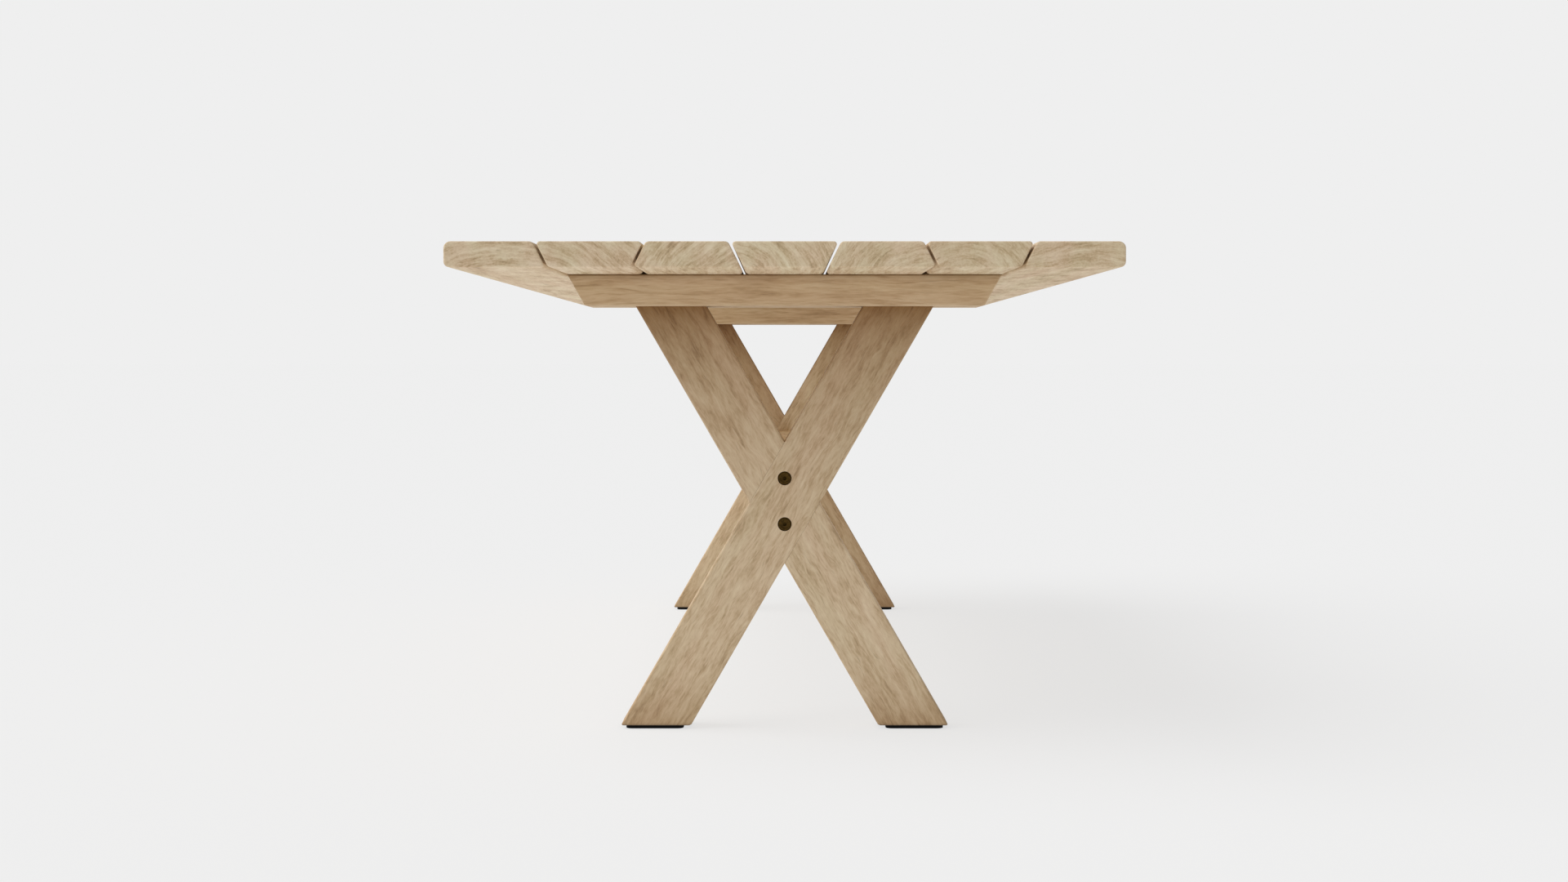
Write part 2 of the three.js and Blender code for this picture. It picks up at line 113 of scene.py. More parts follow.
CROSSING_BOLT_SHANK_RADIUS = 5 * MM
CROSSING_BOLT_HEAD_HEIGHT = 4 * MM
CROSSING_BOLT_END_CHAMFER = 1 * MM
CROSSING_BOLT_RECESS = 5.3 * MM  # the depth of its counterbore
# The head's face, from its middle out: mm inside the rim, and mm below the highest point.
CROSSING_BOLT_FACE = [
    (4.6, 0.7),
    (4.2, 0.5),
    (3.2, 0.05),
    (2.6, 0),
    (1.2, 0.05),
    (0.5, 0.35),
    (0.1, 0.9),
    (0, 1.3),
]

# Hexagon sockets: the radius at the mouth, the radius at the floor, and the depth.
SCREW_SOCKET = (2 * MM, 1.7 * MM, 2 * MM)
LEG_BOLT_SOCKET = (2.6 * MM, 2.6 * MM, 2.5 * MM)
CROSSING_BOLT_SOCKET = (3.4 * MM, 3.2 * MM, 5 * MM)

FASTENER_CHAMFER = 0.8 * MM
TAPPED_CLEARANCE = 0.15 * MM
BORE_CLEARANCE = 0.3 * MM
COUNTERBORE_CLEARANCE = 1 * MM
NUT_BORE_REACH = 25 * MM  # from a cross dowel's end out through the wood's face
OVERSHOOT = 2 * MM  # how far a cutting tool starts outside the face it opens

ARC_STEPS = 8
EASING_STEPS = 5
PAD_EASING_STEPS = 3
MITRE_LIMIT = 0.3  # the least cosine that an inset corner's move is divided by
ROUND_SIDES = 48
BOLT_HEAD_SIDES = 64
MERGE_DISTANCE = 1e-7
SHARP_ANGLE = math.radians(35)

UP, DOWN = Vector((0, 0, 1)), Vector((0, 0, -1))
ALONG_TABLE, ACROSS_TABLE = Vector((0, 1, 0)), Vector((1, 0, 0))

TABLE_LOW, TABLE_HIGH = cad_box
TABLE_WIDTH = TABLE_HIGH.x - TABLE_LOW.x
PLANK_PITCH = (TABLE_WIDTH + PLANK_GAP) / PLANK_COUNT
PLANK_LOW, PLANK_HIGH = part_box("plank_4")
PLANK_MIDDLE = (PLANK_LOW.z + PLANK_HIGH.z) / 2
BEAM_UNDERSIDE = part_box("front_beam")[0].z

ENDS = ("front", "back")
SIDES = ("right", "left")
LEVELS = ("upper", "lower")


# ---- Mesh building ----------------------------------------------------------------------------


def centre_of(node):
    low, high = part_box(node)
    return (low + high) / 2


def radius_of(node):
    """The radius of a node that is round along its longest side."""
    low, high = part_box(node)
    return sorted(high - low)[1] / 2


def unit(axis):
    return Vector([float(number == axis) for number in range(3)])


def rounded(corners, steps=ARC_STEPS):
    """A closed outline through corners (u, v, radius), every corner a true arc."""
    points = []
    for i, (u, v, radius) in enumerate(corners):
        corner = Vector((u, v))
        before = (Vector(corners[i - 1][:2]) - corner).normalized()
        after = (Vector(corners[(i + 1) % len(corners)][:2]) - corner).normalized()
        if radius == 0:
            points.append(corner)
            continue
        half = before.angle(after) / 2
        centre = corner + (before + after).normalized() * radius / math.sin(half)
        start = corner + before * radius / math.tan(half) - centre
        end = corner + after * radius / math.tan(half) - centre
        turn = start.angle_signed(end)
        for step in range(steps + 1):
            spoke = start.copy()
            spoke.rotate(Matrix.Rotation(-turn * step / steps, 2))
            points.append(centre + spoke)
    return points


def inset(points, amount):
    """The anticlockwise outline moved inwards by amount, its corners mitred."""
    moved = []
    for i, point in enumerate(points):
        before = (point - points[i - 1]).normalized()
        after = (points[(i + 1) % len(points)] - point).normalized()
        side = Vector((-before.y, before.x))
        normal = (side + Vector((-after.y, after.x))).normalized()
        moved.append(point + normal * amount / max(normal.dot(side), MITRE_LIMIT))
    return moved


def new_object(name, points, faces):
    mesh = bpy.data.meshes.new(name)
    mesh.from_pydata([tuple(p) for p in points], [], faces)
    work = bmesh.new()
    work.from_mesh(mesh)
    bmesh.ops.remove_doubles(work, verts=work.verts, dist=MERGE_DISTANCE)
    bmesh.ops.recalc_face_normals(work, faces=work.faces)
    work.to_mesh(mesh)
    work.free()
    obj = bpy.data.objects.new(name, mesh)
    bpy.context.scene.collection.objects.link(obj)
    return obj


def loft(name, rings):
    """A closed mesh through rings of points, with a flat face on the first and the last."""
    count = len(rings[0])
    faces = [tuple(range(count))]
    for row in range(len(rings) - 1):
        a, b = row * count, (row + 1) * count
        faces += [(a + i, a + (i + 1) % count, b + (i + 1) % count, b + i) for i in range(count)]
    faces.append(tuple(range((len(rings) - 1) * count, len(rings) * count)))
    return new_object(name, [p for ring in rings for p in ring], faces)


def along_y(u, v, w):
    return Vector((u, w, v))


def along_z(u, v, w):
    return Vector((u, v, w))


def prism(name, outline, low, high, easing=0.0, place=along_y, steps=EASING_STEPS):
    """An outline carried from low to high, its end edges rounded by easing."""
    stations = [(low, 0.0), (high, 0.0)]
    if easing:
        turns = [math.pi / 2 * i / steps for i in range(steps + 1)]
        depths = [(easing * (1 - math.sin(t)), easing * (1 - math.cos(t))) for t in turns]
        stations = [(low + along, back) for along, back in reversed(depths)]
        stations += [(high - along, back) for along, back in depths]
    rings = [[place(p.x, p.y, w) for p in inset(outline, back)] for w, back in stations]
    return loft(name, rings)


def turned(name, profile, start, direction, sides=ROUND_SIDES):
    """A solid of revolution: profile is (radius, distance) along direction from start."""
    direction = Vector(direction).normalized()
    aside = direction.orthogonal().normalized()
    other = direction.cross(aside)
    angles = [2 * math.pi * i / sides for i in range(sides)]
    spokes = [aside * math.cos(angle) + other * math.sin(angle) for angle in angles]
    rings = []
    for radius, distance in profile:
        centre = Vector(start) + direction * distance
        rings.append([centre + spoke * radius for spoke in spokes])
    return loft(name, rings)


def cylinder(radius, length, start, direction):
    return turned("tool", [(radius, 0), (radius, length)], start, direction)


def combine(obj, tools, operation="DIFFERENCE"):
    """Cuts the tools out of obj, or joins them to it, and deletes the tools."""
    for tool in tools:
        modifier = obj.modifiers.new("cut", "BOOLEAN")
        modifier.operation = operation
        modifier.solver = "EXACT"
        modifier.object = tool
        evaluated = obj.evaluated_get(bpy.context.evaluated_depsgraph_get())
        mesh = bpy.data.meshes.new_from_object(evaluated)
        obj.modifiers.clear()
        obj.data = mesh
        bpy.data.objects.remove(tool)
    return obj


def smooth_shading(obj):
    """Round edges shade round and flat faces stay flat."""
    obj.data.shade_smooth()
    obj.data.set_sharp_from_angle(angle=SHARP_ANGLE)
    weighted = obj.modifiers.new("face_weighted_normals", "WEIGHTED_NORMAL")
    weighted.keep_sharp = True


# ---- Node helpers -----------------------------------------------------------------------------


class Nodes:
    """The nodes of a material or a world, written as plain function calls."""

    def __init__(self, owner, shader="Principled BSDF"):
        owner.use_nodes = True
        self.owner = owner
        self.tree = owner.node_tree
        self.shader = self.tree.nodes[shader]

    def feed(self, socket, value):
        if isinstance(value, bpy.types.NodeSocket):
            self.tree.links.new(value, socket)
        elif value is not None:
            socket.default_value = value

    def node(self, kind, **settings):
        made = self.tree.nodes.new(kind)
        for key, value in settings.items():
            setattr(made, key, value)
        return made

    def attribute(self, name, output):
        return self.node("ShaderNodeAttribute", attribute_name=name).outputs[output]

    def math(self, operation, a, b=None):
        made = self.node("ShaderNodeMath", operation=operation)
        self.feed(made.inputs[0], a)
        self.feed(made.inputs[1], b)
        return made.outputs[0]

    def vector(self, operation, a, b=None, output=0):
        made = self.node("ShaderNodeVectorMath", operation=operation)
        self.feed(made.inputs[0], a)
        self.feed(made.inputs[1], b)
        return made.outputs[output]

    def axis(self, vector, number):
        """One of a vector's three values, or one of a colour's."""
        made = self.node("ShaderNodeSeparateXYZ")
        self.feed(made.inputs[0], vector)
        return made.outputs[number]

    def joined(self, *values):
        made = self.node("ShaderNodeCombineXYZ")
        for socket, value in zip(made.inputs, values):
            self.feed(socket, value)
        return made.outputs[0]

    def noise(self, vector, scale, detail=2.0, roughness=0.5, output="Fac"):
        made = self.node("ShaderNodeTexNoise")
        self.feed(made.inputs["Vector"], self.vector("MULTIPLY", vector, scale))
        self.feed(made.inputs["Scale"], 1.0)
        self.feed(made.inputs["Detail"], detail)
        self.feed(made.inputs["Roughness"], roughness)
        return made.outputs[output]

    def line_noise(self, position, scale, detail, roughness):
        """Noise along a single value instead of in space."""
        made = self.node("ShaderNodeTexNoise", noise_dimensions="1D")
        self.feed(made.inputs["W"], self.math("MULTIPLY", position, scale))
        self.feed(made.inputs["Scale"], 1.0)
        self.feed(made.inputs["Detail"], detail)
        self.feed(made.inputs["Roughness"], roughness)
        return made.outputs["Fac"]

    def between(self, value, low, high, to_low=0.0, to_high=1.0):
        """The value carried from one range to another, and held at its ends."""
        made = self.node("ShaderNodeMapRange")
        for socket, number in zip(made.inputs, (value, low, high, to_low, to_high)):
            self.feed(socket, number)
        return made.outputs[0]

    def mix(self, factor, a, b, blend="MIX"):
        made = self.node("ShaderNodeMix", data_type="RGBA", blend_type=blend)
        self.feed(made.inputs["Factor"], factor)
        self.feed(made.inputs[6], a)
        self.feed(made.inputs[7], b)
        return made.outputs[2]

    def ramp(self, value, stops):
        """The colour at a value, between stops of (position, colour)."""
        made = self.node("ShaderNodeValToRGB")
        ramp = made.color_ramp
        while len(ramp.elements) < len(stops):
            ramp.elements.new(0.5)
        for element, (position, colour) in zip(ramp.elements, stops):
            element.position = position
            element.color = colour
        self.feed(made.inputs[0], value)
        return made.outputs[0]

    def bump(self, height, strength, distance):
        made = self.node("ShaderNodeBump")
        self.feed(made.inputs["Height"], height)
        self.feed(made.inputs["Strength"], strength)
        self.feed(made.inputs["Distance"], distance)
        return made.outputs[0]

    def finish(self, colour, roughness, normal=None, metallic=0.0, specular=0.5):
        """Feeds the shader and gives the material."""
        self.feed(self.shader.inputs["Base Color"], colour)
        self.feed(self.shader.inputs["Roughness"], roughness)
        self.feed(self.shader.inputs["Normal"], normal)
        self.feed(self.shader.inputs["Metallic"], metallic)
        self.feed(self.shader.inputs["Specular IOR Level"], specular)
        return self.owner


def srgb(red, green, blue):
    """A colour from its 0 to 255 display values, as the linear values that nodes use."""

    def linear(value):
        share = value / 255
        return share / 12.92 if share <= 0.04045 else ((share + 0.055) / 1.055) ** 2.4

    return linear(red), linear(green), linear(blue), 1.0


# ---- Materials --------------------------------------------------------------------------------

TOP_TONES = (srgb(158, 133, 100), srgb(208, 184, 151), srgb(222, 202, 172), srgb(236, 220, 194))
FRAME_TONES = (srgb(152, 126, 94), srgb(207, 181, 148), srgb(222, 199, 168), srgb(235, 216, 187))
GREENISH_TINT = srgb(253, 255, 249)
PINKISH_TINT = srgb(255, 251, 248)
BROWN_TINT = srgb(229, 221, 212)  # a browner board
# Painted shade: the legs' wood darkens towards the beam's underside, standing in for the shade
# under the beam and tabletop
PAINTED_BEAM_SHADE_TINT = srgb(166, 140, 107)  # the legs' wood right under the beam
BEAM_SHADE_FADE = 115 * MM
# Painted shade: the frame's wood darkens towards the floor, standing in for the shade near the
# ground
PAINTED_FLOOR_SHADE_TINT = srgb(216, 203, 188)  # the legs' wood at the ground
FLOOR_SHADE_FADE = 64 * MM
# Painted shade: a thin contact shadow on the beams' wood right under the planks
PAINTED_CONTACT_SHADE_TINT = srgb(180, 168, 148)  # the beams' wood at the planks
CONTACT_SHADE_FADE = 5 * MM
# Painted shade: a dark band at the legs' lowest edge, standing in for the contact shadow above the
# pads
PAINTED_FOOT_SHADE_TINT = srgb(60, 45, 30)  # the legs' wood at the edge that the pad hides
FOOT_SHADE_FADE = 1.3 * MM

# How many marks a metre holds: along the grain, then across it and deep, or, in the coordinates
# that follow the growth rings, out from the pith and round it.
SWAY_SCALE = (1.6, 7, 7)
RIPPLE_SCALE = (13, 50, 50)
RING_SCALE = 95
STROKE_SCALE = (22, 200, 26)
FIBRE_SCALE = (45, 480, 120)
MOTTLE_SCALE = (80, 330, 330)
STREAK_SCALE = (6, 85, 18)
BLOTCH_SCALE = (16, 62, 62)
CLOUD_SCALE = (5, 18, 18)
HUE_SCALE = (3, 26, 26)
DASH_SCALE = (20, 260, 60)

SWAY = 22 * MM  # how far the grain strays from straight
MIDDLE_TONE = 0.6
TONE_STOPS = (0.1, 0.45, 0.62, 0.9)
FIBRE_STRENGTH = 0.45
MOTTLE_STRENGTH = 0.4
RING_STRENGTH = 0.3
STREAK_STRENGTH = 0.4
CLOUD_STRENGTH = 0.4
HUE_SPREAD = 0.15
DASH_LEVELS = (0.34, 0.24)
DASH_STRENGTH = 0.45
WOOD_RELIEF = 0.4 * MM


def faded_tint(n, colour, tint, distance, fade):
    """The colour, tinted fully at distance 0, less and less away from it, and not below it."""
    strength = n.math("EXPONENT", n.math("DIVIDE", n.math("ABSOLUTE", distance), -fade))
    strength = n.math("MULTIPLY", strength, n.math("GREATER_THAN", distance, 0))
    return n.mix(strength, colour, tint, "MULTIPLY")


def wood(name, tones, contrast, calm, patches, ripples, painted_shades):
    """Sawn weathered wood. grain is each board's own coordinate: along, and from its pith.

    contrast is the strength of its strokes, calm that of its broad streaks and hues, and patches
    that of its blotches; ripples is how far the growth rings waver. A painted shade is (tint,
    height, direction, fade): painted shade that tints the wood below (-1) or above (1) that height.
    """
    n = Nodes(bpy.data.materials.new(name))
    grain = n.attribute("grain", "Vector")
    sway = n.vector("SUBTRACT", n.noise(grain, SWAY_SCALE, output="Color"), (0.5, 0.5, 0.5))
    swayed = n.vector("ADD", grain, n.vector("MULTIPLY", sway, (0, SWAY, SWAY)))
    radius = n.vector("LENGTH", n.vector("MULTIPLY", swayed, (0, 1, 1)), output="Value")
    radius = n.math("ADD", radius, n.math("MULTIPLY", n.noise(grain, RIPPLE_SCALE), ripples))
    arc = n.math("ARCTAN2", n.axis(swayed, 1), n.math("MULTIPLY", n.axis(swayed, 2), -1.0))
    curved = n.joined(n.axis(grain, 0), radius, n.math("MULTIPLY", arc, radius))

    strokes = n.noise(curved, STROKE_SCALE, 3, 0.6)
    fibres = n.noise(curved, FIBRE_SCALE, 2, 0.6)
    mottle = n.noise(grain, MOTTLE_SCALE, 2, 0.6)
    layers = [
        (strokes, contrast),
        (fibres, FIBRE_STRENGTH),
        (mottle, MOTTLE_STRENGTH),
        (n.line_noise(radius, RING_SCALE, 1, 0.4), RING_STRENGTH * calm),
        (n.noise(curved, STREAK_SCALE), STREAK_STRENGTH * calm),
        (n.noise(grain, BLOTCH_SCALE, 3, 0.55), patches),
        (n.noise(grain, CLOUD_SCALE), CLOUD_STRENGTH * calm),
    ]
    tone = MIDDLE_TONE
    for value, weight in layers:
        tone = n.math("ADD", n.math("MULTIPLY", n.math("SUBTRACT", value, 0.5), weight), tone)
    colour = n.ramp(tone, list(zip(TONE_STOPS, tones)))

    spread = HUE_SPREAD / calm
    hue = n.between(n.noise(grain, HUE_SCALE, 1), 0.5 - spread, 0.5 + spread)
    colour = n.mix(1.0, colour, n.mix(hue, GREENISH_TINT, PINKISH_TINT), "MULTIPLY")
    dashes = n.between(n.noise(curved, DASH_SCALE, 2, 0.6), *DASH_LEVELS, 0, DASH_STRENGTH)
    colour = n.mix(dashes, colour, tones[0])
    colour = n.mix(n.attribute("browning", "Fac"), colour, BROWN_TINT, "MULTIPLY")
    height = n.axis(n.node("ShaderNodeTexCoord").outputs["Object"], 2)
    # Painted shade: the wood is darkened towards given heights, where shade falls
    for tint, level, direction, fade in painted_shades:
        distance = n.math("MULTIPLY", n.math("SUBTRACT", height, level), direction)
        colour = faded_tint(n, colour, tint, distance, fade)

    roughness = n.between(mottle, 0.3, 0.7, 0.8, 0.62)
    relief = n.math("ADD", n.math("MULTIPLY", strokes, 0.6), n.math("MULTIPLY", fibres, 0.4))
    return n.finish(colour, roughness, n.bump(relief, 0.2, WOOD_RELIEF), specular=0.3)


PATINA_SCALE = (260, 260, 260)
SCRATCH_SCALE = (1500, 1500, 4000)
SPECKLE_SCALE = (900, 900, 900)


def metal(name, colour, worn, roughness):
    """Metal with faint turning marks and a drift in its patina."""
    n = Nodes(bpy.data.materials.new(name))
    place = n.node("ShaderNodeTexCoord").outputs["Object"]
    patina = n.noise(place, PATINA_SCALE, 3, 0.6)
    scratches = n.noise(place, SCRATCH_SCALE, 2, 0.6)
    tint = n.mix(n.between(patina, 0.35, 0.7), colour, worn)
    rough = n.between(patina, 0.3, 0.7, roughness, roughness + 0.2)
    return n.finish(tint, rough, n.bump(scratches, 0.15, 0.1 * MM), metallic=0.85)


def rubber(name, dark, light):
    n = Nodes(bpy.data.materials.new(name))
    speckle = n.noise(n.node("ShaderNodeTexCoord").outputs["Object"], SPECKLE_SCALE, 2, 0.6)
    colour = n.mix(n.between(speckle, 0.3, 0.7), dark, light)
    roughness = n.between(speckle, 0.3, 0.7, 0.7, 0.9)
    return n.finish(colour, roughness, n.bump(speckle, 0.3, 0.2 * MM), specular=0.2)


# Painted shade on the frame wood: a dark edge above the pads, shade under the beams, shade near the
# floor, and a contact shadow under the planks
FRAME_PAINTED_SHADES = [
    (PAINTED_FOOT_SHADE_TINT, PAD_THICKNESS, 1, FOOT_SHADE_FADE),
    (PAINTED_BEAM_SHADE_TINT, BEAM_UNDERSIDE, -1, BEAM_SHADE_FADE),
    (PAINTED_FLOOR_SHADE_TINT, 0, 1, FLOOR_SHADE_FADE),
    (PAINTED_CONTACT_SHADE_TINT, PLANK_LOW.z, -1, CONTACT_SHADE_FADE),
]

TOP_WOOD = wood("top_wood", TOP_TONES, 1.1, 1.0, 0.42, 6 * MM, [])
FRAME_WOOD = wood("frame_wood", FRAME_TONES, 0.8, 0.5, 0.7, 18 * MM, FRAME_PAINTED_SHADES)
BRONZE = metal("bronze_bolt", srgb(84, 62, 20), srgb(60, 43, 13), 0.45)
STEEL = metal("hidden_steel", srgb(176, 176, 172), srgb(150, 150, 146), 0.3)
RUBBER = rubber("foot_pad", srgb(5, 5, 5), srgb(14, 13, 12))

# Each board's own wood: how short its marks are along it, and where its pattern starts.
PLANK_SHORTNESS, BAR_SHORTNESS, LEG_SHORTNESS = 0.4, 0.6, 1.25
SEED_STEP = 7.3  # how far apart two boards' patterns lie in the same noise
# Where each plank's pith lay, across and below its middle, which sets the arcs on its ends, and
# how brown the plank is.
PLANK_WOODS = [
    ((20 * MM, 260 * MM), 0.1),
    ((-100 * MM, 150 * MM), 0.2),
    ((170 * MM, 190 * MM), 0.15),
    ((-95 * MM, 85 * MM), 0.1),
    ((70 * MM, 90 * MM), 0.2),
    ((-20 * MM, 60 * MM), 0.3),
    ((30 * MM, 280 * MM), 0.3),
]
BEAM_PITH = (90 * MM, 20 * MM)
BATTEN_PITH = (-40 * MM, 60 * MM)
LEG_PITH = (150 * MM, 25 * MM)
STRETCHER_PITH = (20 * MM, 90 * MM)
BATTEN_SEED, STRETCHER_SEED = 21, 31
BEAM_WOODS = {"front": (11, 0.7), "back": (12, 1.0)}  # seed and browning
LEG_WOODS = {
    ("front", "right"): (13, 0.0),
    ("front", "left"): (14, 0.0),
    ("back", "right"): (15, 1.0),
    ("back", "left"): (16, 0.0),
}


# ---- Pieces -----------------------------------------------------------------------------------


def settle(obj, node, material):
    """Gives a piece its finish and its place in the table."""
    obj.data.materials.clear()
    obj.data.materials.append(material)
    smooth_shading(obj)
    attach(obj, "root")
    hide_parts(node)


def lay_grain(obj, node, along, across, pith, seed, shortness, browning=0.0):
    """Stores each vertex's place in its board: along the grain, then across and deep from the pith.

    browning, from 0 to 1, is how brown the board is.
    """
    along, across = Vector(along).normalized(), Vector(across).normalized()
    deep = along.cross(across)
    middle = centre_of(node)
    places = []
    for vertex in obj.data.vertices:
        place = vertex.co - middle
        from_pith = place.dot(across) - pith[0], place.dot(deep) - pith[1]
        places += ((place.dot(along) + seed * SEED_STEP) * shortness, *from_pith)
    grain = obj.data.attributes.new("grain", "FLOAT_VECTOR", "POINT")
    grain.data.foreach_set("vector", places)
    brown = obj.data.attributes.new("browning", "FLOAT", "POINT")
    brown.data.foreach_set("value", [browning] * len(obj.data.vertices))


def drill(radius, length, start, direction):
    """A round hole from the face at start, length deep."""
    direction = Vector(direction)
    return cylinder(radius, length + OVERSHOOT, Vector(start) - direction * OVERSHOOT, direction)


def bore(node, axis, radius, before=BORE_CLEARANCE, after=BORE_CLEARANCE):
    """A round hole along a node, reaching past its low end by before and its high end by after."""
    low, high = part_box(node)
    start = centre_of(node)
    start[axis] = low[axis] - before
    return cylinder(radius, high[axis] - low[axis] + before + after, start, unit(axis))


def screw_bore(screw):
    return bore(screw, 2, SCREW_SHANK_RADIUS + BORE_CLEARANCE, before=0)


def nut_bore(nut, axis, opens_high):
    reach = {"after" if opens_high else "before": NUT_BORE_REACH}
    return bore(nut, axis, radius_of(nut) + BORE_CLEARANCE, **reach)


def leg_bolt_bores(end, side):
    """A leg bolt's counterbore and bore, and the bore of its barrel nut."""
    bolt = f"{end}_leg_bolt_{side}"
    start = centre_of(bolt)
    start.z = PLANK_LOW.z + OVERSHOOT
    depth = start.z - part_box(bolt)[1].z + LEG_BOLT_HEAD_HEIGHT + BORE_CLEARANCE
    return [
        cylinder(radius_of(bolt) + BORE_CLEARANCE, depth, start, DOWN),
        bore(bolt, 2, LEG_BOLT_SHANK_RADIUS + BORE_CLEARANCE),
        nut_bore(f"{end}_leg_nut_{side}", 1, end == "front"),
    ]


def screw_holes(screw, opening):
    """A screw's counterbore and bore, from the face at height opening up to its tip."""
    low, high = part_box(screw)
    start = centre_of(screw)
    start.z = opening
    recess = low.z - opening + SCREW_HEAD_HEIGHT
    depth = high.z - opening + BORE_CLEARANCE
    return [
        drill(radius_of(screw) + COUNTERBORE_CLEARANCE, recess, start, UP),
        drill(SCREW_SHANK_RADIUS + BORE_CLEARANCE, depth, start, UP),
    ]


def crossing_bolt_bores(end, level, low_y, high_y):
    """A crossing bolt's counterbore and bore through a leg that lies from low_y to high_y."""
    bolt = f"{end}_crossing_bolt_{level}"
    start = centre_of(bolt)
    start.y = low_y if end == "front" else high_y
    inward = ALONG_TABLE if end == "front" else -ALONG_TABLE
    depth = high_y - low_y + OVERSHOOT
    return [
        drill(radius_of(bolt) + BORE_CLEARANCE, CROSSING_BOLT_RECESS, start, inward),
        drill(CROSSING_BOLT_SHANK_RADIUS + BORE_CLEARANCE, depth, start, inward),
    ]


def spigots(pad, base):
    """Where each of a pad's two spigots starts at height base, and how far it reaches up."""
    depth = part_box(pad)[1].z - base
    starts = []
    for offset in (-SPIGOT_SPACING / 2, SPIGOT_SPACING / 2):
        start = centre_of(pad)
        start.x += offset
        start.z = base
        starts.append(start)
    return [(start, depth) for start in starts]


def plank_side_x(number, side, z):
    """X of a plank's slanted side at height z; side is -1 for left and 1 for right."""
    if number == (1 if side < 0 else PLANK_COUNT):
        return side * TABLE_WIDTH / 2
    gap = number - 1 if side < 0 else number
    lean = 1 if gap % 2 == 0 else -1
    middle = (gap - PLANK_COUNT / 2) * PLANK_PITCH
    slope = lean * math.tan(GAP_SLANT) * (z - PLANK_MIDDLE)
    return middle + slope - side * PLANK_GAP / 2 / math.cos(GAP_SLANT)


def plank_outline(number):
    """A plank's section, a corner tighter where its slanted side makes it acute."""

    def corner(side, z):
        x = plank_side_x(number, side, z)
        flare = side * (x - plank_side_x(number, side, PLANK_MIDDLE))
        if flare == 0:
            return x, z, RIM_TOP_RADIUS if z == PLANK_HIGH.z else RIM_LOW_RADIUS
        return x, z, PLANK_ACUTE_RADIUS if flare > 0 else PLANK_OBTUSE_RADIUS

    low, high = PLANK_LOW.z, PLANK_HIGH.z
    return rounded([corner(-1, low), corner(1, low), corner(1, high), corner(-1, high)])


def plank(number):
    name = f"plank_{number}"
    low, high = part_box(name)
    obj = prism(f"{name}_wood", plank_outline(number), low.y, high.y, PLANK_END_EASING)
    screws = [f"batten_screw_{number}"]
    if 1 < number < PLANK_COUNT:
        screws += [f"front_plank_screw_{number}", f"back_plank_screw_{number}"]
    side = {1: "left", 2: "left", PLANK_COUNT - 1: "right", PLANK_COUNT: "right"}.get(number)
    pins = [f"{side}_edge_pin_{i}" for i in range(1, PIN_COUNT + 1)] if side else []
    bores = [screw_bore(screw) for screw in screws]
    bores += [bore(pin, 0, radius_of(pin) + BORE_CLEARANCE) for pin in pins]
    combine(obj, bores)
    pith, browning = PLANK_WOODS[number - 1]
    lay_grain(obj, name, ALONG_TABLE, ACROSS_TABLE, pith, number, PLANK_SHORTNESS, browning)
    settle(obj, name, TOP_WOOD)


def cross_bar(name, run):
    """A bar across the table, each end shorter underneath by run, its long edges rounded."""
    low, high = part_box(name)
    outline = rounded(
        [
            (low.x + run, low.z, BAR_CORNER_RADIUS),
            (high.x - run, low.z, BAR_CORNER_RADIUS),
            (high.x, high.z, 0),
            (low.x, high.z, 0),
        ]
    )
    return prism(f"{name}_wood", outline, low.y, high.y, BAR_EASING)


def beam(end):
    name = f"{end}_beam"
    obj = cross_bar(name, BEAM_END_RUN)
    for number in range(2, PLANK_COUNT):
        combine(obj, screw_holes(f"{end}_plank_screw_{number}", BEAM_UNDERSIDE))
    combine(obj, leg_bolt_bores(end, "left") + leg_bolt_bores(end, "right"))
    seed, browning = BEAM_WOODS[end]
    lay_grain(obj, name, ACROSS_TABLE, UP, BEAM_PITH, seed, BAR_SHORTNESS, browning)
    settle(obj, name, FRAME_WOOD)


def batten():
    name = "mid_batten"
    obj = cross_bar(name, BATTEN_END_RUN)
    for number in range(1, PLANK_COUNT + 1):
        combine(obj, screw_holes(f"batten_screw_{number}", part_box(name)[0].z))
    lay_grain(obj, name, ACROSS_TABLE, UP, BATTEN_PITH, BATTEN_SEED, BAR_SHORTNESS)
    settle(obj, name, FRAME_WOOD)


